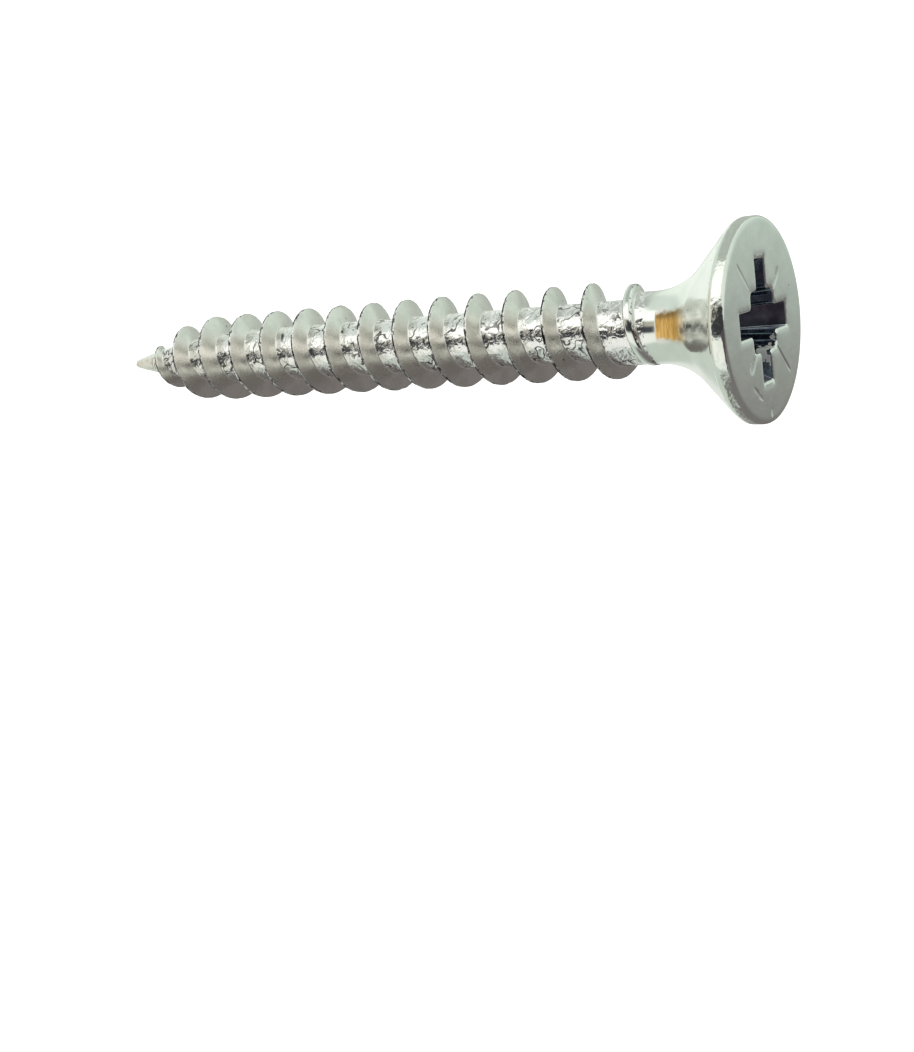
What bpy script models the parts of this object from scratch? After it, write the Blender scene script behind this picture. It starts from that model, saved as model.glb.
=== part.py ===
"""A wood screw of nominal size 3.5 x 30 mm: one cold-formed piece of zinc-plated steel.

Frame: the screw stands along Z with its head up. The origin is the centre of the head's
flat top face, which lies flush with the surface of the wood, and the tip is at -Z.
Depth is measured down from that face, so a point at depth d has z = -d.
"""

import math

import bmesh
import bpy

MM = 0.001

# Head: flat top, straight rim, 90 degree countersink, and a fillet down to the shank.
HEAD_RADIUS = 3.5 * MM
RIM_HEIGHT = 0.5 * MM
RIM_CORNER = 0.12 * MM
CONE_HALF_ANGLE = math.radians(45)
SHANK_RADIUS = 1.29 * MM
FILLET_RADIUS = 2.85 * MM

# Thread: single start, right-handed, 40 degrees between its flanks.
LENGTH = 28.7 * MM
PITCH = 1.6 * MM
CREST_RADIUS = 1.73 * MM
ROOT_RADIUS = 1.08 * MM
CREST_WIDTH = 0.08 * MM
FLANK_HALF_ANGLE = math.radians(20)
THREAD_ANGLE = math.radians(168)  # where the crest would cross the plane of the top face
RUN_OUT = 1.3 * PITCH  # the thread fades to nothing over this length, under the head
CREST_TAPER = 6.0 * MM  # length of the tapering stretch of the crests, at the tip
ROOT_TAPER = 6.6 * MM  # length of the tapering stretch of the root, at the tip

# Recess: a No. 2 cross with parallel wings, a square middle and a cone at its bottom.
WING_RADIUS = 2.12 * MM
WING_WIDTH = 1.0 * MM
SQUARE_WIDTH = 1.9 * MM
RECESS_DEPTH = 1.85 * MM  # of the wings, without the cone
WING_SLOPE = math.tan(math.radians(26.5))
SIDE_SLOPE = math.tan(math.radians(2.5))
POINT_DEPTH = 2.3 * MM  # of the cone's point

# The four thin marks stamped on the face between the wings.
MARK_START = 1.0 * MM
MARK_END = 2.75 * MM
MARK_WIDTH = 0.16 * MM
MARK_DEPTH = 0.09 * MM

CUTTER_RISE = 0.3 * MM  # how far a cutter stands above the face that it cuts

SIDES = 36
CORNER_STEPS = 3
FILLET_STEPS = 8
MERGE_DISTANCE = 0.0005 * MM
SHARP_ANGLE = math.radians(32)


def clear_scene():
    for obj in list(bpy.data.objects):
        bpy.data.objects.remove(obj)


def smooth_step(t):
    """0 to 1 with level ends, for t from 0 to 1."""
    t = min(1.0, max(0.0, t))
    return t * t * (3 - 2 * t)


def arc(centre, radius, start, end, steps):
    """Points (depth, radius) on an arc, whose angles turn from the tip's direction outwards."""
    points = []
    for i in range(steps + 1):
        a = start + (end - start) * i / steps
        points.append((centre[0] + radius * math.cos(a), centre[1] + radius * math.sin(a)))
    return points


def fillet_end():
    """Depth at which the fillet, which touches cone and shank, meets the shank."""
    sin, cos = math.sin(CONE_HALF_ANGLE), math.cos(CONE_HALF_ANGLE)
    rise = SHANK_RADIUS + FILLET_RADIUS - HEAD_RADIUS
    return RIM_HEIGHT + (FILLET_RADIUS - rise * cos) / sin


def head_profile():
    """Outline (depth, radius) of the head, from its flat face down to the shank."""
    corner_centre = (RIM_CORNER, HEAD_RADIUS - RIM_CORNER)
    corner = arc(corner_centre, RIM_CORNER, math.pi, math.pi / 2, CORNER_STEPS)
    fillet_centre = (fillet_end(), SHANK_RADIUS + FILLET_RADIUS)
    shank_side = 3 * math.pi / 2
    fillet = arc(fillet_centre, FILLET_RADIUS, shank_side - CONE_HALF_ANGLE, shank_side, FILLET_STEPS)
    return corner + [(RIM_HEIGHT, HEAD_RADIUS)] + fillet


def thread_share(depth):
    """0 where the thread begins, under the head, and 1 where it has its full height."""
    return smooth_step((depth - fillet_end()) / RUN_OUT)


def taper_share(depth, taper):
    """1 along the straight part, falling to 0 at the tip in a parabola of this length."""
    left = min(1.0, (LENGTH - depth) / taper)
    return 1 - (1 - left) ** 2


def root_radius(depth):
    """Radius of the metal between the threads."""
    straight = SHANK_RADIUS + (ROOT_RADIUS - SHANK_RADIUS) * thread_share(depth)
    return straight * taper_share(depth, ROOT_TAPER)


def crest_radius(depth):
    """Radius of the thread's crest."""
    root = root_radius(depth)
    full = max(root, CREST_RADIUS * taper_share(depth, CREST_TAPER))
    return root + (full - root) * thread_share(depth)


def within_thread(depth):
    return min(max(depth, fillet_end()), LENGTH)


def thread_lines():
    """The thread's lines, turn after turn, each with the depth at which the crest's middle
    passes angle 0, the side of the crest that it is on, and whether it is up on the crest."""
    first = THREAD_ANGLE / (2 * math.pi) * PITCH - PITCH
    lines = []
    for turn in range(math.ceil(LENGTH / PITCH) + 3):
        for side, on_crest in ((-1, False), (-1, True), (1, True), (1, False)):
            lines.append((first + turn * PITCH, side, on_crest))
    return lines


def thread_point(middle, side, on_crest):
    """(depth, radius) of a line, at an angle where the crest's middle is at this depth."""
    height = crest_radius(within_thread(middle)) - root_radius(within_thread(middle))
    half_width = CREST_WIDTH / 2
    if not on_crest:
        half_width += height * math.tan(FLANK_HALF_ANGLE)
    depth = within_thread(middle + side * half_width)
    return depth, crest_radius(depth) if on_crest else root_radius(depth)


def add_ring(mesh, depth, radius):
    ring = []
    for i in range(SIDES):
        a = 2 * math.pi * i / SIDES
        ring.append(mesh.verts.new((radius * math.cos(a), radius * math.sin(a), -depth)))
    return ring


def add_head(mesh):
    """The head, closed by its flat face, down to the ring where the thread begins."""
    rings = [add_ring(mesh, depth, radius) for depth, radius in head_profile()]
    mesh.faces.new(rings[0])
    for upper, lower in zip(rings, rings[1:]):
        for i in range(SIDES):
            j = (i + 1) % SIDES
            mesh.faces.new((upper[j], upper[i], lower[i], lower[j]))


def add_thread(mesh):
    """The threaded shank, as one helical sheet. Each line rises by one pitch round the shank,
    and so ends where the same line of the turn above begins."""
    lines = []
    for middle, side, on_crest in thread_lines():
        line = []
        for i in range(SIDES + 1):
            share = i / SIDES
            depth, radius = thread_point(middle - PITCH * share, side, on_crest)
            a = 2 * math.pi * share
            line.append(mesh.verts.new((radius * math.cos(a), radius * math.sin(a), -depth)))
        lines.append(line)
    for upper, lower in zip(lines, lines[1:]):
        for i in range(SIDES):
            mesh.faces.new((upper[i + 1], upper[i], lower[i], lower[i + 1]))


def make_object(name, mesh):
    data = bpy.data.meshes.new(name)
    mesh.to_mesh(data)
    mesh.free()
    obj = bpy.data.objects.new(name, data)
    bpy.context.scene.collection.objects.link(obj)
    return obj


def make_blank():
    """The screw before its recess is cut."""
    mesh = bmesh.new()
    add_head(mesh)
    add_thread(mesh)
    bmesh.ops.remove_doubles(mesh, verts=mesh.verts, dist=MERGE_DISTANCE)
    bmesh.ops.dissolve_degenerate(mesh, edges=mesh.edges, dist=MERGE_DISTANCE)
    bmesh.ops.recalc_face_normals(mesh, faces=mesh.faces)
    return make_object("screw", mesh)


def recess_outline(depth):
    """The recess's section at a depth: a cross on a square."""
    wing = WING_RADIUS - depth * WING_SLOPE
    half_width = WING_WIDTH / 2 - depth * SIDE_SLOPE
    half_square = SQUARE_WIDTH / 2 - depth * SIDE_SLOPE
    quarter = [
        (wing, -half_width),
        (wing, half_width),
        (half_square, half_width),
        (half_square, half_square),
        (half_width, half_square),
    ]
    points = []
    for turn in range(4):
        cos, sin = round(math.cos(turn * math.pi / 2)), round(math.sin(turn * math.pi / 2))
        points += [(x * cos - y * sin, x * sin + y * cos) for x, y in quarter]
    return points


def make_recess_cutter():
    mesh = bmesh.new()
    upper = [mesh.verts.new((x, y, CUTTER_RISE)) for x, y in recess_outline(-CUTTER_RISE)]
    lower = [mesh.verts.new((x, y, -RECESS_DEPTH)) for x, y in recess_outline(RECESS_DEPTH)]
    point = mesh.verts.new((0, 0, -POINT_DEPTH))
    mesh.faces.new(upper)
    for i in range(len(upper)):
        j = (i + 1) % len(upper)
        mesh.faces.new((upper[j], upper[i], lower[i], lower[j]))
        mesh.faces.new((lower[j], lower[i], point))
    bmesh.ops.recalc_face_normals(mesh, faces=mesh.faces)
    return make_object("recess_cutter", mesh)


def make_mark_cutter():
    """Four long wedges, half way between the wings, each with its edge down."""
    mesh = bmesh.new()
    half_width = MARK_WIDTH / 2 * (1 + CUTTER_RISE / MARK_DEPTH)
    for turn in range(4):
        a = math.pi / 4 + turn * math.pi / 2
        ends = []
        for along in (MARK_START, MARK_END):
            section = []
            corners = ((-half_width, CUTTER_RISE), (half_width, CUTTER_RISE), (0, -MARK_DEPTH))
            for across, z in corners:
                x = along * math.cos(a) - across * math.sin(a)
                y = along * math.sin(a) + across * math.cos(a)
                section.append(mesh.verts.new((x, y, z)))
            ends.append(section)
        inner, outer = ends
        mesh.faces.new(inner)
        mesh.faces.new(reversed(outer))
        for i in range(3):
            j = (i + 1) % 3
            mesh.faces.new((inner[j], inner[i], outer[i], outer[j]))
    bmesh.ops.recalc_face_normals(mesh, faces=mesh.faces)
    return make_object("mark_cutter", mesh)


def cut(obj, cutter):
    cutter.hide_render = True
    cutter.display_type = "WIRE"
    modifier = obj.modifiers.new(cutter.name, "BOOLEAN")
    modifier.operation = "DIFFERENCE"
    modifier.object = cutter


def bright_zinc():
    material = bpy.data.materials.new("bright_zinc")
    material.use_nodes = True
    shader = material.node_tree.nodes["Principled BSDF"]
    shader.inputs["Base Color"].default_value = (0.72, 0.75, 0.73, 1)
    shader.inputs["Metallic"].default_value = 1.0
    shader.inputs["Roughness"].default_value = 0.16
    return material


def main():
    clear_scene()
    screw = make_blank()
    screw.data.shade_smooth()
    screw.data.set_sharp_from_angle(angle=SHARP_ANGLE)
    screw.data.materials.append(bright_zinc())
    cut(screw, make_recess_cutter())
    cut(screw, make_mark_cutter())


main()
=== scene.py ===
# Looks of a wood screw in bright zinc: one fine mesh with the recess's rounded lips, the stamped
# lines, the rolled rim, the thread with its run-out and the marks that the rolling dies left.
# Sizes are in millimetres. Depth is measured down from the head's flat face, so z = -depth.

import math

import bmesh
import bpy
from mathutils import Euler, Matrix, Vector, noise


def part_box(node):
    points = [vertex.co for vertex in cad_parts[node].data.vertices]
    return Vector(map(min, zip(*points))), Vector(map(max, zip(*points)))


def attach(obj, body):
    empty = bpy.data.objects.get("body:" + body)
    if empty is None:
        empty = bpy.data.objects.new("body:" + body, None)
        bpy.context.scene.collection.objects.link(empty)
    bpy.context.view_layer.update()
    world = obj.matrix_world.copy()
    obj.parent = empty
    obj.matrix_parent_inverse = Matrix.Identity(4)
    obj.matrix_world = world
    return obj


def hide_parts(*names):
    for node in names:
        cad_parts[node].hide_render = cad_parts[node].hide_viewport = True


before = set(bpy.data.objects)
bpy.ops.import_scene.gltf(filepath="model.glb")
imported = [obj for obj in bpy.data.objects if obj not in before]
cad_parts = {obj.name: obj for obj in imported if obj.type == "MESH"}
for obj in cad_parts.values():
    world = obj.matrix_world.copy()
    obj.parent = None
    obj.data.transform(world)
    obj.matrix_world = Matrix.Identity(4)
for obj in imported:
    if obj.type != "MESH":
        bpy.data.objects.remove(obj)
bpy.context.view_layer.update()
lowest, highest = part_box("screw")

MM = 0.001
HEAD_RADIUS = highest.x / MM
LENGTH = (highest.z - lowest.z) / MM

# Head
RIM_HEIGHT = 0.5
RIM_CORNER = 0.14
UNDER_RIM_CUT = 0.12  # how far the rounding between rim and cone reaches along each
CONE_HALF_ANGLE = math.radians(45)
SHANK_RADIUS = 1.28
FILLET_RADIUS = 2.85
RIM_RIPPLE = 0.016  # height of the waves that rolling left round the rim
RIM_NOISE_RADIUS = 14.0  # of the circle in the noise that gives those waves

# Thread
PITCH = 1.6
CREST_RADIUS = 1.73
ROOT_RADIUS = 1.05
CREST_WIDTH = 0.09
CREST_CUT = 0.03  # rounding of the crest's corners
FLANK_HALF_ANGLE = math.radians(18)
BASE_CUT = 0.05  # rounding where the flank meets the root
THREAD_ANGLE = math.radians(168)
RUN_OUT = 1.28  # along the axis, from no thread to its full height
GROOVE_RUN_OUT = 0.56
RUN_OUT_WIDENING = 0.16  # how much wider half of the crest is where the thread starts
WIDE_LENGTH = RUN_OUT + 0.5  # along the axis, until the crest has its usual width
SMOOTH_YOUTH = 0.2  # the crest is smooth while its youth is above this
CREST_TAPER = 4.4
CREST_END = 0.55  # how far before the tip the crest's taper would meet the axis
ROOT_TAPER = 7.4
VIRTUAL_POINT = 0.5  # how far past the tip the root's taper would meet the axis
POINT_RADIUS = 0.17  # of the blunt end

# Heights of what the rolling dies left
ROOT_WAVE = 0.006
ROOT_DENT = 0.004
ROOT_LINE = 0.014
FLANK_WAVE = 0.006
CREST_NICK = 0.04
CREST_GRAIN = 0.008
NICKED_HEIGHT = 0.3  # of the thread, from which its crest is fully nicked
NECK_FADE = 0.2  # lengths over which all of them set in under the head and die out at the tip
TIP_FADE = 0.6

# Recess
WING_RADIUS = 2.1
WING_WIDTH = 0.86
SQUARE_WIDTH = 2.05
RECESS_DEPTH = 1.85
POINT_DEPTH = 2.3
WING_SLOPE = math.tan(math.radians(26.5))
SIDE_SLOPE = math.tan(math.radians(2.5))
WING_CORNER_CUT = 0.05
ROOT_CORNER_CUT = 0.17  # where a wing leaves the square
SQUARE_CORNER_CUT = 0.28
LIP_RADIUS = 0.055
LIP_ANGLE = math.radians(24)  # between the face and the start of the lip
LIP_STEPS = 5
LIP_SINK = 0.018  # how far the punch drew the face down beside the recess
LIP_REACH = 0.12
LIP_RISE = 0.03  # how far the recess's cutter stands above the face beside the recess

# Lines stamped between the wings, struck unevenly: each one's start and end from the axis, width
# and depth. The first is between +X and +Y, and the next ones follow anticlockwise.
MARKS = (
    (1.2, 2.8, 0.13, 0.04),
    (1.2, 2.3, 0.28, 0.045),
    (1.5, 2.85, 0.14, 0.022),
    (1.2, 2.25, 0.38, 0.06),
)
# Scratches on the face: each one's middle, direction, length, width and depth
SCRATCHES = (((2.35, -1.05), 0.93, 0.86, 0.13, 0.025), ((3.1, 0.02), -0.24, 0.4, 0.08, 0.02))
GROOVE_STEPS = 8
GROOVE_RISE = 0.05  # how far a groove's cutter stands above the face

SIDES = 144
FACE_RING_GAP = 0.12
FACE_MIDDLE = 0.9  # radius of the face's middle, which the recess removes
MERGE_DISTANCE = 0.00005
SHARP_ANGLE = math.radians(42)

# Painted glint: a pale, less metallic patch on the wall of the wing along +X
GLINT_SPOT = (1.1, 0.5, -0.3)
GLINT_RADIUS = 0.4

# Painted reflection: a warm amber patch on the front of the neck, its depths and azimuths
AMBER_REFLECTION_TOP = 1.8
AMBER_REFLECTION_BOTTOM = 3.44
AMBER_REFLECTION_AZIMUTH = (-116.0, -78.0)

# The tip turns pale and dull from the first of these heights above the point to the second.
PALE_TIP = (1.9, 1.0)
PALE_TIP_COLOUR = (0.97, 0.97, 0.92, 1)
PALE_TIP_ROUGHNESS = 0.36

FLOOR_RADIUS = 600
FLOOR_GAP = 0.02

CAMERA_SPOT = (-5.014, -50.487, 19.976)
CAMERA_TURN = (-0.445, -57.359, 76.975)
CAMERA_LENS = 54.17

# Zones of the surface, each with its own material
HEAD, FLANK, ROOT, CREST, EDGE, FOOT, RECESS = range(7)
WINNERS = (HEAD, CREST, EDGE, ROOT, FOOT, FLANK)  # where two zones meet, the later one wins

# Studio: name, colour, azimuth of the middle, half width and softness of the sides, then the
# bottom's and the top's elevation and their softness. All angles are in degrees.
FRONT = -103.4
TENT = (0.8, 0.86, 0.8)
PANELS = (
    ("left light", (0.98, 1.03, 0.95), -140, 25, 10, -80, 30, 10, 10),
    ("behind", (0.69, 0.79, 0.71), -155, 25, 10, 0, 60, 5, 10),
    ("left shade", (0.42, 0.43, 0.37), -77, 15, 8, -80, 10, 10, 8),
    ("right shade", (0.2, 0.185, 0.18), 127, 62, 9, -200, 200, 5, 5),
    ("zenith shade", (0.13, 0.13, 0.13), 140, 45, 10, 68, 200, 5, 5),
    ("below camera", (0.27, 0.27, 0.25), 4, 16, 7, -200, 200, 5, 5),
    ("below camera, pale", (0.5, 0.47, 0.4), -6, 8, 4, -200, 200, 5, 5),
    ("below camera, dark", (0.07, 0.07, 0.08), 13, 10, 4, -200, 200, 5, 5),
    ("camera", (0.04, 0.042, 0.045), 3, 17, 5, -27, 200, 3, 5),
    ("key light, upper", (0.9, 0.89, 0.83), -38, 22, 7, -14, 75, 8, 10),
    ("key light", (1.3, 1.29, 1.22), -38, 22, 7, -200, -6, 3, 8),
    ("fill light, upper", (0.9, 0.89, 0.82), 38, 16, 7, -22, 70, 3, 6),
    ("fill light", (1.0, 0.99, 0.93), 40, 15, 6, -200, -22, 3, 5),
)
# These are seen only where the metal mirrors the studio itself, not another part of the screw.
ONE_MIRROR = 2.5  # rays that met the metal once have a Ray Depth below this
DIRECT_PANELS = (
    ("lower left", (0.76, 0.82, 0.76), -77, 26, 6, -200, -28, 4, 5),
    ("left", (0.5, 0.54, 0.49), -125, 58, 9, -28, 12, 6, 6),
    ("lower right", (0.62, 0.68, 0.61), 126, 66, 9, -200, -25, 5, 5),
    ("lower back", (0.85, 0.87, 0.82), 165, 18, 8, -46, -25, 5, 5),
    ("camera's right", (0.09, 0.07, 0.085), 40, 24, 6, -2, 200, 6, 5),
    ("floor", (0.84, 0.82, 0.76), 2, 66, 8, -200, -44, 5, 3),
    ("beige", (0.64, 0.6, 0.46), 0, 90, 20, -200, -68, 5, 5),
    ("back", (0.5, 0.47, 0.35), 180, 80, 20, -200, -72, 5, 5),
)


def clamp(t):
    return min(1.0, max(0.0, t))


def smooth_step(t):
    """0 to 1 with level ends, for t from 0 to 1."""
    t = clamp(t)
    return t * t * (3 - 2 * t)


def fillet_end():
    """Depth at which the curve under the cone meets the shank, where the thread begins."""
    sin, cos = math.sin(CONE_HALF_ANGLE), math.cos(CONE_HALF_ANGLE)
    rise = SHANK_RADIUS + FILLET_RADIUS - HEAD_RADIUS
    return RIM_HEIGHT + (FILLET_RADIUS - rise * cos) / sin


def round_corner(before, corner, after, reach, steps):
    """Points of a smooth curve that replaces the corner between two straight lines."""
    corner = Vector(corner)
    arms = []
    for other in (before, after):
        arm = Vector(other) - corner
        arms.append(arm.normalized() * min(reach, arm.length * 0.48))
    points = []
    for i in range(steps + 1):
        t = i / steps
        points.append(tuple(corner + arms[0] * (1 - t) ** 2 + arms[1] * t**2))
    return points


def between(a, b, steps):
    """Points inside the line from a to b, without its ends."""
    return [tuple(Vector(a).lerp(Vector(b), i / steps)) for i in range(1, steps)]


# ---------------------------------------------------------------- head


def head_profile():
    """Outline (depth, radius) of the head, from the edge of its flat face to the thread."""
    cone_start = (RIM_HEIGHT, HEAD_RADIUS)
    fillet_start_depth = fillet_end() - FILLET_RADIUS * math.sin(CONE_HALF_ANGLE)
    fillet_start = (fillet_start_depth, HEAD_RADIUS - (fillet_start_depth - RIM_HEIGHT))
    face_edge = (0, HEAD_RADIUS - 2 * RIM_CORNER)
    corner = round_corner(face_edge, (0, HEAD_RADIUS), cone_start, RIM_CORNER, 6)
    under = round_corner((0, HEAD_RADIUS), cone_start, fillet_start, UNDER_RIM_CUT, 6)
    points = corner + between(corner[-1], under[0], 4) + under
    points += between(under[-1], fillet_start, 8)
    steps = 22
    for i in range(steps + 1):
        a = CONE_HALF_ANGLE * (1 - i / steps)
        depth = fillet_end() - FILLET_RADIUS * math.sin(a)
        points.append((depth, SHANK_RADIUS + FILLET_RADIUS * (1 - math.cos(a))))
    return points


def rim_ripple(depth, angle):
    """How far the rolled rim stands back from a true cylinder."""
    on_rim = smooth_step(depth / 0.1) * smooth_step((RIM_HEIGHT + 0.25 - depth) / 0.25)
    x, y = RIM_NOISE_RADIUS * math.cos(angle), RIM_NOISE_RADIUS * math.sin(angle)
    spot = Vector((x, y, depth * 1.5))
    return RIM_RIPPLE * on_rim * (0.5 + 0.5 * noise.noise(spot))


def face_dip(x, y):
    """How far the face sinks beside the recess."""
    x, y = abs(x), abs(y)
    side, square = WING_WIDTH / 2, SQUARE_WIDTH / 2
    gaps = []
    for half_x, half_y in ((WING_RADIUS, side), (side, WING_RADIUS), (square, square)):
        gaps.append(math.hypot(max(x - half_x, 0), max(y - half_y, 0)))
    return LIP_SINK * math.exp(-((min(gaps) / LIP_REACH) ** 2))


def face_rings():
    """Radii of the face's rings, from the middle to the edge."""
    edge = HEAD_RADIUS - RIM_CORNER
    count = math.ceil((edge - FACE_MIDDLE) / FACE_RING_GAP)
    return [edge - FACE_RING_GAP * i for i in range(count, 0, -1)]


def add_ring(mesh, depth, radius):
    ring = []
    for i in range(SIDES):
        a = 2 * math.pi * i / SIDES
        r = radius - rim_ripple(depth, a)
        ring.append(mesh.verts.new((r * math.cos(a), r * math.sin(a), -depth)))
    return ring


def add_head(mesh):
    """The head down to the thread. Returns its last ring."""
    rings = []
    for radius in face_rings():
        ring = add_ring(mesh, 0, radius)
        for vert in ring:
            vert.co.z -= face_dip(vert.co.x, vert.co.y)
        rings.append(ring)
    rings += [add_ring(mesh, depth, radius) for depth, radius in head_profile()]
    mesh.faces.new(rings[0])
    for upper, lower in zip(rings, rings[1:]):
        for i in range(SIDES):
            j = (i + 1) % SIDES
            mesh.faces.new((upper[j], upper[i], lower[i], lower[j]))
    return rings[-1]


# ---------------------------------------------------------------- thread


def taper_share(depth, end, taper):
    """1 along the straight part, falling in a parabola of this length to 0 at its end."""
    left = clamp((end - depth) / taper)
    return 1 - (1 - left) ** 2


def within_thread(depth):
    return min(max(depth, fillet_end()), LENGTH)


def youth(middle):
    """1 where the thread starts, falling to 0 where its crest has its usual width."""
    return 1 - clamp((middle - fillet_end()) / WIDE_LENGTH)


def blunt(depth):
    """Largest radius that the rounded end leaves at this depth."""
    left = max(0.0, LENGTH - depth)
    if left > POINT_RADIUS:
        return CREST_RADIUS
    return math.sqrt(left * (2 * POINT_RADIUS - left))


def groove_radius(middle):
    """Radius of the groove on the tip's side of the crest whose middle is at this depth."""
    share = smooth_step((middle - fillet_end()) / GROOVE_RUN_OUT)
    return SHANK_RADIUS + (ROOT_RADIUS - SHANK_RADIUS) * share


def root_radius(depth, groove):
    taper = taper_share(depth, LENGTH + VIRTUAL_POINT, ROOT_TAPER)
    return min(groove * taper, blunt(depth))


def crest_radius(middle):
    share = clamp((middle - fillet_end()) / RUN_OUT)
    full = SHANK_RADIUS + (CREST_RADIUS - SHANK_RADIUS) * share
    return full * taper_share(middle, LENGTH - CREST_END, CREST_TAPER)


def half_section(height, widening):
    """Half of the thread's section, from the crest's middle to the groove's: each station's
    (offset, height) and zone."""
    half = CREST_WIDTH / 2 + widening
    base = half + height * math.tan(FLANK_HALF_ANGLE)
    crest, corner, foot, groove = (0, height), (half, height), (base, 0), (PITCH / 2, 0)
    top = round_corner(crest, corner, foot, min(CREST_CUT + 0.8 * widening, height), 3)
    bottom = round_corner(corner, foot, groove, min(BASE_CUT, height), 4)
    stations = [(crest, CREST)]
    stations += [(p, CREST) for p in top]
    stations += [(p, FLANK) for p in between(top[-1], bottom[0], 4)]
    stations += [(bottom[0], FLANK)]
    stations += [(p, FOOT) for p in bottom[1:3]]
    stations += [(p, ROOT) for p in bottom[3:]]
    stations += [(p, ROOT) for p in between(bottom[-1], groove, 6)]
    return stations


def root_marks(spot):
    """Radial marks of the rolling dies at the root."""
    waves = ROOT_WAVE * noise.noise(spot * 2.6)
    dents = ROOT_DENT * noise.noise(spot * 6.5 + Vector((7, 3, 1)))
    curl = abs(noise.noise(spot * 2.4 + Vector((31, 5, 9))))
    patch = smooth_step((noise.noise(spot * 0.9 + Vector((2, 8, 4))) + 0.1) / 0.3)
    line = max(0.0, 1 - curl / 0.07) * patch
    return waves + dents - ROOT_LINE * line


def crest_nicks(spot):
    """Radial nicks in the crest's edge."""
    nick = max(0.0, noise.noise(spot * 3.4 + Vector((11, 2, 6))) - 0.12)
    return -CREST_NICK * nick - CREST_GRAIN * abs(noise.noise(spot * 7 + Vector((5, 5, 5))))


def side_zone(zone, side, smooth):
    """The zone on one side of the crest, and on a run-out that the dies left smooth."""
    if zone == CREST and smooth:
        return HEAD
    if side > 0:
        return {CREST: EDGE, FOOT: ROOT}.get(zone, zone)
    return zone


def thread_vertex(asked, radius, angle, side, zone, height):
    """(depth, radius) of a vertex with the dies' marks, where the plain thread would have it at
    the asked depth and this radius."""
    start = fillet_end()
    depth = within_thread(asked)
    marked = smooth_step((depth - start) / NECK_FADE) * smooth_step((LENGTH - depth) / TIP_FADE)
    spot = Vector((math.cos(angle) * radius, math.sin(angle) * radius, depth))
    if zone == ROOT:
        radius += root_marks(spot) * marked
    elif zone in (CREST, EDGE):
        radius += crest_nicks(spot) * marked * clamp(height / NICKED_HEIGHT)
    else:
        depth += side * FLANK_WAVE * noise.noise(spot * 1.4) * marked
    if asked <= start:
        radius = SHANK_RADIUS
    return depth, min(radius, blunt(depth))


def thread_side(middle, angle, side):
    """Vertices (depth, radius, zone) on one side of the crest whose middle is at this depth."""
    groove = groove_radius(middle - PITCH if side < 0 else middle)
    here = within_thread(middle)
    height = max(0.0, crest_radius(here) - root_radius(here, groove))
    widening = RUN_OUT_WIDENING * youth(middle)
    smooth_width = CREST_WIDTH / 2 + widening if youth(middle) > SMOOTH_YOUTH else 0
    stations = half_section(height, widening)
    if side < 0:
        stations = stations[:0:-1]
    points = []
    for (offset, rise), zone in stations:
        zone = side_zone(zone, side, offset < smooth_width)
        asked = middle + side * offset
        radius = root_radius(within_thread(asked), groove) + rise
        points.append((*thread_vertex(asked, radius, angle, side, zone, height), zone))
    return points


def add_thread(mesh):
    """The threaded shank, as one sheet of columns that run down it. Each column lies a little
    higher on the helix than the one before, and the last one meets the first, a turn on."""
    first = THREAD_ANGLE / (2 * math.pi) * PITCH - PITCH
    columns = []
    zones = []
    for i in range(SIDES + 1):
        angle = 2 * math.pi * i / SIDES
        points = []
        for turn in range(math.ceil(LENGTH / PITCH) + 3):
            middle = first + (turn - i / SIDES) * PITCH
            points += thread_side(middle, angle, -1) + thread_side(middle, angle, 1)
        spots = [(r * math.cos(angle), r * math.sin(angle), -depth) for depth, r, _ in points]
        columns.append([mesh.verts.new(spot) for spot in spots])
        zones.append([zone for _, _, zone in points])
    for left, right, zone in zip(columns, columns[1:], zones):
        for k in range(len(left) - 1):
            face = mesh.faces.new((right[k], left[k], left[k + 1], right[k + 1]))
            face.material_index = max(zone[k], zone[k + 1], key=WINNERS.index)


# ---------------------------------------------------------------- recess and marks


def recess_outline(depth, grow):
    """The recess's section at a depth, made wider all round: a cross on a square."""
    wing = WING_RADIUS - depth * WING_SLOPE + grow
    half_width = WING_WIDTH / 2 - depth * SIDE_SLOPE + grow
    half_square = SQUARE_WIDTH / 2 - depth * SIDE_SLOPE + grow
    quarter = [
        (wing, -half_width, WING_CORNER_CUT),
        (wing, half_width, WING_CORNER_CUT),
        (half_square, half_width, ROOT_CORNER_CUT),
        (half_square, half_square, SQUARE_CORNER_CUT),
        (half_width, half_square, ROOT_CORNER_CUT),
    ]
    corners = []
    for turn in range(4):
        cos, sin = round(math.cos(turn * math.pi / 2)), round(math.sin(turn * math.pi / 2))
        corners += [(x * cos - y * sin, x * sin + y * cos, reach) for x, y, reach in quarter]
    points = []
    for i, (x, y, reach) in enumerate(corners):
        before, after = corners[i - 1][:2], corners[(i + 1) % len(corners)][:2]
        points += round_corner(before, (x, y), after, reach, 4)
    return points


def recess_layers():
    """(z, grow) of the recess's sections, from above the face over the rounded lip to its foot."""
    sin, cos = math.sin(LIP_ANGLE), math.cos(LIP_ANGLE)
    reach = (LIP_RISE + LIP_RADIUS * (1 - cos)) / math.tan(LIP_ANGLE)
    layers = [(LIP_RISE, LIP_RADIUS * (1 - sin) + reach)]
    for i in range(LIP_STEPS + 1):
        a = LIP_ANGLE + (math.pi / 2 - LIP_ANGLE) * i / LIP_STEPS
        layers.append((-LIP_RADIUS * (1 - math.cos(a)), LIP_RADIUS * (1 - math.sin(a))))
    return [(z - LIP_SINK, grow) for z, grow in layers] + [(-RECESS_DEPTH, 0)]


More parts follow.
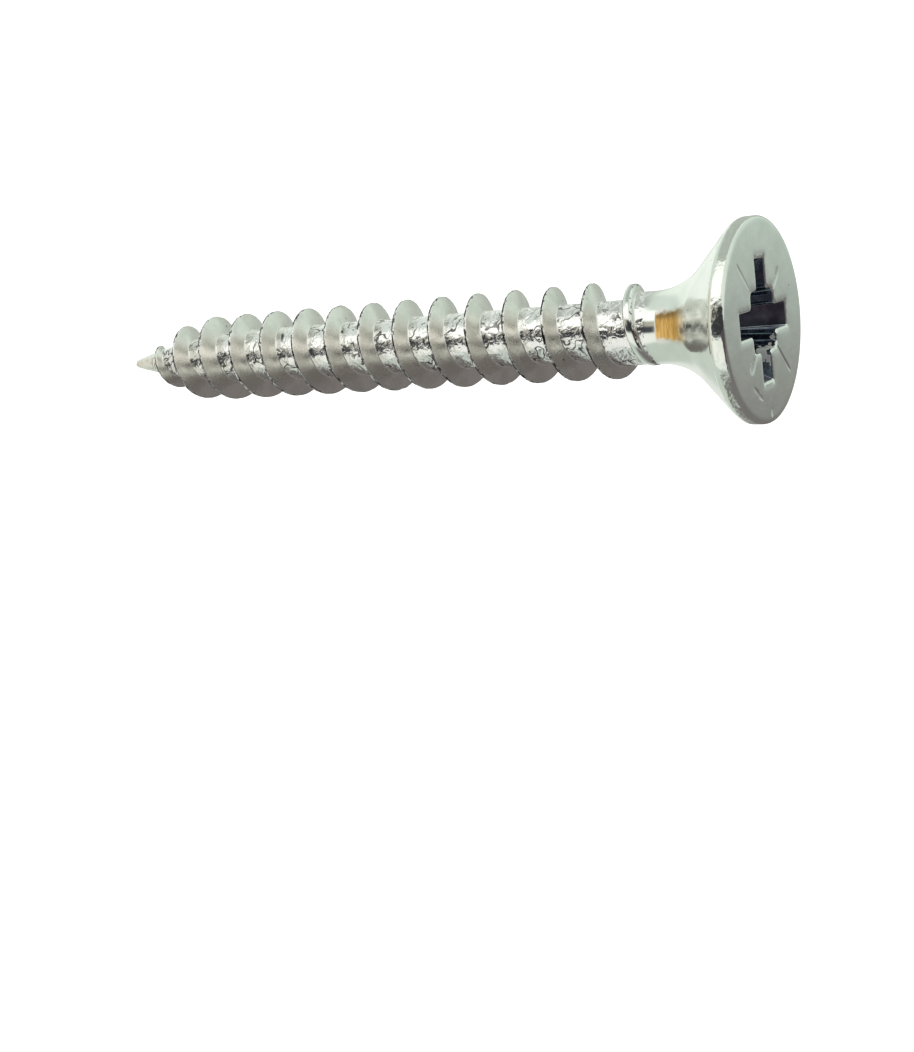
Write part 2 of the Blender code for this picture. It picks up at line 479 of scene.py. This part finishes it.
def make_recess_cutter():
    mesh = bmesh.new()
    loops = []
    for z, grow in recess_layers():
        outline = recess_outline(max(0, -z), grow)
        loops.append([mesh.verts.new((x, y, z)) for x, y in outline])
    bottom = loops[-1]
    point = mesh.verts.new((0, 0, -POINT_DEPTH))
    mesh.faces.new(loops[0])
    for upper, lower in zip(loops, loops[1:]):
        for i in range(len(upper)):
            j = (i + 1) % len(upper)
            face = mesh.faces.new((upper[j], upper[i], lower[i], lower[j]))
            # Only the deepest wall and the point take the recess material, with its painted shade.
            face.material_index = RECESS if lower is bottom else HEAD
    for i in range(len(bottom)):
        face = mesh.faces.new((bottom[(i + 1) % len(bottom)], bottom[i], point))
        face.material_index = RECESS
    return mesh


def groove_section(mesh, stroke, share):
    """Triangle across a stroke, with its edge down, at a share of the stroke's length."""
    (mid_x, mid_y), angle, length, width, depth = stroke
    half_width = width / 2 * (1 + GROOVE_RISE / depth)
    along = length * (share - 0.5)
    fullness = max(0.08, 1 - abs(2 * share - 1) ** 3)
    corners = ((-half_width, GROOVE_RISE), (half_width, GROOVE_RISE), (0, -depth * fullness))
    section = []
    for across, z in corners:
        x = mid_x + along * math.cos(angle) - across * math.sin(angle)
        y = mid_y + along * math.sin(angle) + across * math.cos(angle)
        section.append(mesh.verts.new((x, y, z)))
    return section


def make_groove_cutter(strokes):
    """Long wedges, one for each stroke: (middle, angle, length, width, depth)."""
    mesh = bmesh.new()
    for stroke in strokes:
        steps = range(GROOVE_STEPS + 1)
        sections = [groove_section(mesh, stroke, i / GROOVE_STEPS) for i in steps]
        mesh.faces.new(sections[0])
        mesh.faces.new(reversed(sections[-1]))
        for a, b in zip(sections, sections[1:]):
            for i in range(3):
                j = (i + 1) % 3
                mesh.faces.new((a[j], a[i], b[i], b[j]))
    return mesh


def stamped_lines():
    """The strokes of the lines between the wings."""
    strokes = []
    for turn, (start, end, width, depth) in enumerate(MARKS):
        a = math.pi / 4 + turn * math.pi / 2
        middle = (start + end) / 2
        spot = (middle * math.cos(a), middle * math.sin(a))
        strokes.append((spot, a, end - start, width, depth))
    return strokes


# ---------------------------------------------------------------- objects


def make_object(name, mesh):
    bmesh.ops.recalc_face_normals(mesh, faces=mesh.faces)
    bmesh.ops.scale(mesh, vec=(MM, MM, MM), verts=mesh.verts)
    data = bpy.data.meshes.new(name)
    mesh.to_mesh(data)
    mesh.free()
    obj = bpy.data.objects.new(name, data)
    bpy.context.scene.collection.objects.link(obj)
    return obj


def cut(obj, cutter):
    modifier = obj.modifiers.new("cut", "BOOLEAN")
    modifier.operation = "DIFFERENCE"
    modifier.object = cutter
    modifier.material_mode = "INDEX"


def make_punched_head():
    """The head with its recess and marks, closed by a flat cap where the thread begins."""
    mesh = bmesh.new()
    neck = add_head(mesh)
    mesh.faces.new(neck[::-1])
    blank = make_object("blank", mesh)
    cutters = [
        make_object("recess_cutter", make_recess_cutter()),
        make_object("mark_cutter", make_groove_cutter(stamped_lines())),
        make_object("scratch_cutter", make_groove_cutter(SCRATCHES)),
    ]
    makers = (head_zinc, flank_zinc, root_zinc, crest_zinc, edge_zinc, foot_painted_highlight, recess_zinc_painted_shade)
    for make_material in makers:
        material = make_material()
        for obj in [blank, *cutters]:
            obj.data.materials.append(material)
    for cutter in cutters:
        cut(blank, cutter)
    depsgraph = bpy.context.evaluated_depsgraph_get()
    data = bpy.data.meshes.new_from_object(blank.evaluated_get(depsgraph))
    for obj in [blank, *cutters]:
        bpy.data.objects.remove(obj)
    return data


def make_screw():
    data = make_punched_head()
    mesh = bmesh.new()
    mesh.from_mesh(data)
    caps = [face for face in mesh.faces if len(face.verts) == SIDES and face.normal.z < -0.99]
    bmesh.ops.delete(mesh, geom=caps, context="FACES_ONLY")
    bmesh.ops.scale(mesh, vec=(1 / MM, 1 / MM, 1 / MM), verts=mesh.verts)
    add_thread(mesh)
    shank = [vert for vert in mesh.verts if vert.co.z < 0.001 - fillet_end()]
    bmesh.ops.remove_doubles(mesh, verts=shank, dist=MERGE_DISTANCE)
    bmesh.ops.dissolve_degenerate(mesh, edges=mesh.edges, dist=MERGE_DISTANCE)
    bmesh.ops.recalc_face_normals(mesh, faces=mesh.faces)
    bmesh.ops.scale(mesh, vec=(MM, MM, MM), verts=mesh.verts)
    mesh.to_mesh(data)
    mesh.free()
    screw = bpy.data.objects.new("plated_screw", data)
    bpy.context.scene.collection.objects.link(screw)
    data.shade_smooth()
    data.set_sharp_from_angle(angle=SHARP_ANGLE)
    return screw


# ---------------------------------------------------------------- materials


def node(tree, kind, **settings):
    made = tree.nodes.new(kind)
    for name, value in settings.items():
        setattr(made, name, value)
    return made


def feed(tree, socket, value):
    """Links a socket to another node's output, or sets it to a plain value."""
    if isinstance(value, bpy.types.NodeSocket):
        tree.links.new(value, socket)
    else:
        socket.default_value = value


def maths(tree, operation, *values):
    made = node(tree, "ShaderNodeMath", operation=operation)
    for socket, value in zip(made.inputs, values):
        feed(tree, socket, value)
    return made.outputs[0]


def fade(tree, value, start, end, low=0.0, high=1.0):
    """low up to start and high from end on, with a smooth change between; start may be the
    larger of the two."""
    made = node(tree, "ShaderNodeMapRange", interpolation_type="SMOOTHSTEP")
    feed(tree, made.inputs["Value"], value)
    made.inputs["From Min"].default_value = start
    made.inputs["From Max"].default_value = end
    made.inputs["To Min"].default_value = low
    made.inputs["To Max"].default_value = high
    return made.outputs["Result"]


def mix(tree, share, a, b):
    """Colour a at share 0 and colour b at share 1. A Mix node has its colours on 6, 7 and 2."""
    made = node(tree, "ShaderNodeMix", data_type="RGBA")
    feed(tree, made.inputs["Factor"], share)
    feed(tree, made.inputs[6], a)
    feed(tree, made.inputs[7], b)
    return made.outputs[2]


def axes(tree, vector):
    """X, Y and Z of a vector."""
    made = node(tree, "ShaderNodeSeparateXYZ")
    feed(tree, made.inputs[0], vector)
    return made.outputs["X"], made.outputs["Y"], made.outputs["Z"]


def millimetres(tree):
    """Object coordinates in millimetres."""
    made = node(tree, "ShaderNodeVectorMath", operation="SCALE")
    feed(tree, made.inputs[0], node(tree, "ShaderNodeTexCoord").outputs["Object"])
    made.inputs["Scale"].default_value = 1 / MM
    return made.outputs[0]


def grain(tree, spot, scale, detail=2.0, distortion=0.0, seed=0.0):
    """Noise with this many waves in a millimetre."""
    made = node(tree, "ShaderNodeTexNoise", noise_dimensions="4D")
    feed(tree, made.inputs["Vector"], spot)
    made.inputs["W"].default_value = seed
    made.inputs["Scale"].default_value = scale
    made.inputs["Detail"].default_value = detail
    made.inputs["Distortion"].default_value = distortion
    return made.outputs["Fac"]


def lines(tree, spot, scale, width, seed, patch_scale, patch_start):
    """Thin crooked lines in patches, 1 on a line and 0 off it."""
    wave = grain(tree, spot, scale, 1.5, 0.6, seed)
    off = maths(tree, "ABSOLUTE", maths(tree, "SUBTRACT", wave, 0.5))
    line = fade(tree, off, width, width * 0.3)
    patch = grain(tree, spot, patch_scale, 1.0, 0.0, seed + 20)
    return maths(tree, "MULTIPLY", line, fade(tree, patch, patch_start, patch_start + 0.08))


def raised(tree, height, distance, normal=None):
    """Normal of a surface that rises by this distance in millimetres where height is 1."""
    made = node(tree, "ShaderNodeBump")
    made.inputs["Distance"].default_value = distance * MM
    feed(tree, made.inputs["Height"], height)
    if normal:
        feed(tree, made.inputs["Normal"], normal)
    return made.outputs["Normal"]


def zinc(name):
    material = bpy.data.materials.new(name)
    material.use_nodes = True
    tree = material.node_tree
    shader = tree.nodes["Principled BSDF"]
    shader.inputs["Metallic"].default_value = 1.0
    return material, tree, shader, millimetres(tree)


def finish(tree, shader, spot, colour, roughness):
    """Sets colour and roughness, which both turn pale and dull over the tip."""
    _, _, z = axes(tree, spot)
    pale_tip = fade(tree, z, PALE_TIP[0] - LENGTH, PALE_TIP[1] - LENGTH)
    feed(tree, shader.inputs["Base Color"], mix(tree, pale_tip, colour, PALE_TIP_COLOUR))
    rough = node(tree, "ShaderNodeMix")
    feed(tree, rough.inputs["Factor"], pale_tip)
    feed(tree, rough.inputs[2], roughness)
    rough.inputs[3].default_value = PALE_TIP_ROUGHNESS
    feed(tree, shader.inputs["Roughness"], rough.outputs[0])


def within(tree, value, low, high, soft):
    """1 between low and high and 0 outside them, with soft edges."""
    rise = fade(tree, value, low - soft, low + soft)
    return maths(tree, "MULTIPLY", rise, fade(tree, value, high + soft, high - soft))


def painted_amber_reflection(tree, spot):
    """Painted reflection of a warm amber patch on the front of the neck: its share, streaks and
    colour.
    """
    x, y, z = axes(tree, spot)
    azimuth = maths(tree, "DEGREES", maths(tree, "ARCTAN2", y, x))
    ragged = maths(tree, "MULTIPLY_ADD", grain(tree, spot, 5.0, 3.0, 0.0, 9.0), 14.0, -7.0)
    around = within(tree, maths(tree, "ADD", azimuth, ragged), *AMBER_REFLECTION_AZIMUTH, 4.0)
    shift = maths(tree, "MULTIPLY_ADD", grain(tree, spot, 4.0, 3.0, 0.0, 5.0), 0.3, -0.15)
    upper = fade(tree, maths(tree, "ADD", z, shift), -AMBER_REFLECTION_TOP, -AMBER_REFLECTION_TOP - 0.85)
    lower = fade(tree, z, -AMBER_REFLECTION_BOTTOM, -AMBER_REFLECTION_BOTTOM + 0.06)
    share = maths(tree, "MULTIPLY", around, maths(tree, "MULTIPLY", upper, lower))
    squeezed = node(tree, "ShaderNodeVectorMath", operation="MULTIPLY")
    feed(tree, squeezed.inputs[0], spot)
    squeezed.inputs[1].default_value = (1.5, 1.5, 9.0)
    streak = grain(tree, squeezed.outputs[0], 1.0, 3.0, 0.5)
    amber = mix(tree, fade(tree, streak, 0.3, 0.7), (0.88, 0.58, 0.22, 1), (0.6, 0.36, 0.1, 1))
    edge = AMBER_REFLECTION_AZIMUTH[0]
    brown = fade(tree, azimuth, edge + 14, edge + 4, 0.0, 0.8)
    return share, streak, mix(tree, brown, amber, (0.2, 0.13, 0.05, 1))


def head_zinc():
    material, tree, shader, spot = zinc("head_zinc")
    cloud = grain(tree, spot, 0.9, 3.0)
    clouded = fade(tree, cloud, 0.35, 0.65)
    colour = mix(tree, clouded, (0.84, 0.875, 0.835, 1), (0.78, 0.815, 0.775, 1))
    specks = fade(tree, grain(tree, spot, 5.0, 2.0, 0.0, 4.0), 0.7, 0.76)
    colour = mix(tree, specks, colour, (0.45, 0.44, 0.42, 1))
    amber_reflection_share, streak, amber = painted_amber_reflection(tree, spot)
    # Painted reflection: the amber patch is mixed into the head's colour on the front of the neck.
    colour = mix(tree, amber_reflection_share, colour, amber)
    finish(tree, shader, spot, colour, fade(tree, cloud, 0.3, 0.7, 0.09, 0.16))
    wave = raised(tree, grain(tree, spot, 1.6, 2.0, 0.0, 2.0), 0.006)
    lathe = raised(tree, maths(tree, "MULTIPLY", streak, amber_reflection_share), 0.012, wave)
    _, _, z = axes(tree, spot)
    on_rim = within(tree, z, -RIM_HEIGHT - 0.1, -0.04, 0.05)
    ripple = grain(tree, spot, 4.5, 1.5, 0.3, 3.0)
    rim = raised(tree, maths(tree, "MULTIPLY", ripple, on_rim), 0.022, lathe)
    feed(tree, shader.inputs["Normal"], raised(tree, grain(tree, spot, 9.0, 3.0), 0.0009, rim))
    return material


def flank_zinc():
    material, tree, shader, spot = zinc("flank_zinc")
    cloud = grain(tree, spot, 1.4, 4.0)
    colour = mix(tree, fade(tree, cloud, 0.35, 0.65), (0.88, 0.87, 0.83, 1), (0.76, 0.75, 0.71, 1))
    specks = fade(tree, grain(tree, spot, 4.5, 1.0, 0.0, 8.0), 0.74, 0.79)
    colour = mix(tree, specks, colour, (0.2, 0.19, 0.18, 1))
    finish(tree, shader, spot, colour, fade(tree, cloud, 0.3, 0.7, 0.22, 0.32))
    wave = raised(tree, grain(tree, spot, 2.2, 2.0, 0.0, 2.0), 0.006)
    feed(tree, shader.inputs["Normal"], raised(tree, grain(tree, spot, 13.0, 3.0), 0.0015, wave))
    return material


def root_zinc():
    material, tree, shader, spot = zinc("root_zinc")
    squiggle = lines(tree, spot, 2.0, 0.034, 3.0, 0.8, 0.44)
    pits = fade(tree, grain(tree, spot, 7.0, 2.0, 0.0, 6.0), 0.66, 0.72)
    dirt = maths(tree, "MAXIMUM", squiggle, pits)
    colour = mix(tree, dirt, (0.85, 0.86, 0.85, 1), (0.12, 0.12, 0.12, 1))
    finish(tree, shader, spot, colour, 0.11)
    dents = raised(tree, grain(tree, spot, 2.8, 2.0, 1.0, 5.0), 0.05)
    etched = raised(tree, maths(tree, "SUBTRACT", 1.0, squiggle), 0.02, dents)
    feed(tree, shader.inputs["Normal"], raised(tree, grain(tree, spot, 9.0, 3.0), 0.007, etched))
    return material


def crest_zinc():
    material, tree, shader, spot = zinc("crest_zinc")
    dark_patches = fade(tree, grain(tree, spot, 5.0, 3.0, 0.5, 2.0), 0.53, 0.6)
    finish(tree, shader, spot, mix(tree, dark_patches, (0.88, 0.89, 0.87, 1), (0.12, 0.11, 0.11, 1)), 0.16)
    feed(tree, shader.inputs["Normal"], raised(tree, grain(tree, spot, 6.0, 3.0), 0.008))
    return material


def edge_zinc():
    """The crest's corner on the tip's side, dark in patches."""
    material, tree, shader, spot = zinc("edge_zinc")
    dark_patches = fade(tree, grain(tree, spot, 4.5, 3.0, 0.5, 2.0), 0.42, 0.5)
    colour = mix(tree, dark_patches, (0.75, 0.75, 0.73, 1), (0.06, 0.055, 0.06, 1))
    finish(tree, shader, spot, colour, 0.25)
    feed(tree, shader.inputs["Normal"], raised(tree, grain(tree, spot, 6.0, 3.0), 0.01))
    return material


def foot_painted_highlight():
    """Painted highlight: the pale line where the flank meets the root."""
    material, tree, shader, spot = zinc("foot_painted_highlight")
    finish(tree, shader, spot, (0.93, 0.93, 0.91, 1), 0.34)
    shader.inputs["Metallic"].default_value = 0.85
    return material


def recess_zinc_painted_shade():
    """The recess's walls, darkened with painted shade, and a painted glint on one of them."""
    material, tree, shader, spot = zinc("recess_zinc_painted_shade")
    cloud = grain(tree, spot, 2.0, 3.0, 0.0, 7.0)
    # Painted shade: the deep walls and the point are coloured dark blue-grey.
    colour = mix(tree, fade(tree, cloud, 0.4, 0.6), (0.36, 0.41, 0.46, 1), (0.2, 0.21, 0.25, 1))
    away = node(tree, "ShaderNodeVectorMath", operation="DISTANCE")
    feed(tree, away.inputs[0], spot)
    away.inputs[1].default_value = GLINT_SPOT
    uneven = maths(tree, "MULTIPLY_ADD", grain(tree, spot, 4.5, 2.0, 0.0, 1.0), 2.0, -1.0)
    near = maths(tree, "ADD", away.outputs["Value"], uneven)
    # Painted glint: near the spot, the wall turns almost white and less metallic.
    painted_glint = fade(tree, near, GLINT_RADIUS, GLINT_RADIUS - 0.05)
    feed(tree, shader.inputs["Base Color"], mix(tree, painted_glint, colour, (0.96, 0.97, 0.95, 1)))
    feed(tree, shader.inputs["Metallic"], fade(tree, painted_glint, 0.0, 1.0, 1.0, 0.2))
    shader.inputs["Roughness"].default_value = 0.1
    wave = raised(tree, grain(tree, spot, 2.0, 2.0), 0.006)
    feed(tree, shader.inputs["Normal"], raised(tree, painted_glint, 0.03, wave))
    return material


# ---------------------------------------------------------------- studio


def panel_mask(tree, flat, elevation, panel):
    """1 inside a panel of the studio and 0 outside it, with soft edges."""
    name, _, middle, half_width, soft, bottom, top, soft_bottom, soft_top = panel
    a = math.radians(FRONT + middle)
    dot = node(tree, "ShaderNodeVectorMath", operation="DOT_PRODUCT", label=name)
    feed(tree, dot.inputs[0], flat)
    dot.inputs[1].default_value = (math.cos(a), math.sin(a), 0)
    away = maths(tree, "DEGREES", maths(tree, "ARCCOSINE", dot.outputs["Value"]))
    across = fade(tree, away, half_width + soft, half_width - soft)
    above = fade(tree, elevation, bottom - soft_bottom, bottom + soft_bottom)
    below = fade(tree, elevation, top + soft_top, top - soft_top)
    return maths(tree, "MULTIPLY", across, maths(tree, "MULTIPLY", above, below))


def make_world():
    """The studio as the metal mirrors it: a pale tent with panels, each at an azimuth that is
    counted from the front and an elevation above the head's plane. Seen directly, it is white."""
    world = bpy.data.worlds.new("studio")
    world.use_nodes = True
    tree = world.node_tree
    background = tree.nodes["Background"]
    direction = node(tree, "ShaderNodeTexCoord").outputs["Generated"]
    unit = node(tree, "ShaderNodeVectorMath", operation="NORMALIZE")
    feed(tree, unit.inputs[0], direction)
    x, y, z = axes(tree, unit.outputs[0])
    elevation = maths(tree, "DEGREES", maths(tree, "ARCSINE", z))
    joined = node(tree, "ShaderNodeCombineXYZ")
    feed(tree, joined.inputs["X"], x)
    feed(tree, joined.inputs["Y"], y)
    flat = node(tree, "ShaderNodeVectorMath", operation="NORMALIZE")
    feed(tree, flat.inputs[0], joined.outputs[0])
    light_path = node(tree, "ShaderNodeLightPath")
    first = maths(tree, "LESS_THAN", light_path.outputs["Ray Depth"], ONE_MIRROR)
    colour = (*TENT, 1)
    for panel in PANELS + DIRECT_PANELS:
        mask = panel_mask(tree, flat.outputs[0], elevation, panel)
        if panel in DIRECT_PANELS:
            mask = maths(tree, "MULTIPLY", mask, first)
        colour = mix(tree, mask, colour, (*panel[1], 1))
    seen = light_path.outputs["Is Camera Ray"]
    feed(tree, background.inputs["Color"], mix(tree, seen, colour, (1, 1, 1, 1)))
    bpy.context.scene.world = world


def make_floor():
    """The plain white ground under the point, which the metal doesn't mirror."""
    mesh = bmesh.new()
    bmesh.ops.create_circle(mesh, cap_ends=True, segments=96, radius=FLOOR_RADIUS)
    floor = make_object("floor", mesh)
    floor.location.z = -(LENGTH + FLOOR_GAP) * MM
    material = bpy.data.materials.new("pale_floor")
    material.use_nodes = True
    shader = material.node_tree.nodes["Principled BSDF"]
    shader.inputs["Base Color"].default_value = (0.8, 0.8, 0.8, 1)
    shader.inputs["Roughness"].default_value = 0.9
    shader.inputs["Emission Color"].default_value = (1, 1, 1, 1)
    shader.inputs["Emission Strength"].default_value = 1.0
    floor.data.materials.append(material)
    floor.visible_glossy = False


def make_camera():
    data = bpy.data.cameras.new("camera")
    data.lens = CAMERA_LENS
    data.sensor_width = 36
    data.clip_start = 0.001
    camera = bpy.data.objects.new("camera", data)
    camera.location = Vector(CAMERA_SPOT) * MM
    camera.rotation_euler = Euler([math.radians(a) for a in CAMERA_TURN])
    bpy.context.scene.collection.objects.link(camera)
    bpy.context.scene.camera = camera


make_camera()
make_world()
make_floor()
screw = make_screw()
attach(screw, "root")
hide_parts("screw")
bpy.context.scene.view_settings.view_transform = "Standard"
